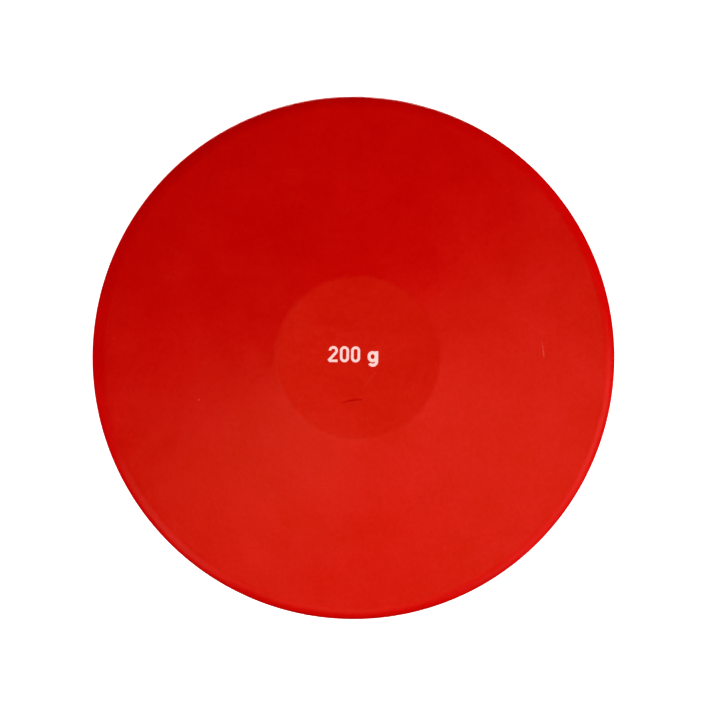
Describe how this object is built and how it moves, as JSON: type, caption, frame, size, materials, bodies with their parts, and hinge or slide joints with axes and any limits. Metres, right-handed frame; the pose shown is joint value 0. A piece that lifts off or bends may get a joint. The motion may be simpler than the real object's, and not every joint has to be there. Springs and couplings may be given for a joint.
{
  "type": "discus",
  "caption": "Soft throwing discus for children: round skin with shallow cones, centre flats and a rounded rim, foam core, and a barbed plug in the back.",
  "frame": {"origin": "middle of the discus, halfway between its two flats on the spin axis", "axes": "+Z along the spin axis out of the front flat, which carries the printed weight; +Y towards the top of the print; +X along its line of writing"},
  "size_m": [0.155, 0.155, 0.03],
  "materials": {
    "skin": "satin",
    "plug": "satin",
    "foam": "matte"
  },
  "bodies": {
    "root": {"shell": "skin", "filler_plug": "plug", "foam_core": "foam"}
  },
  "joints": []
}
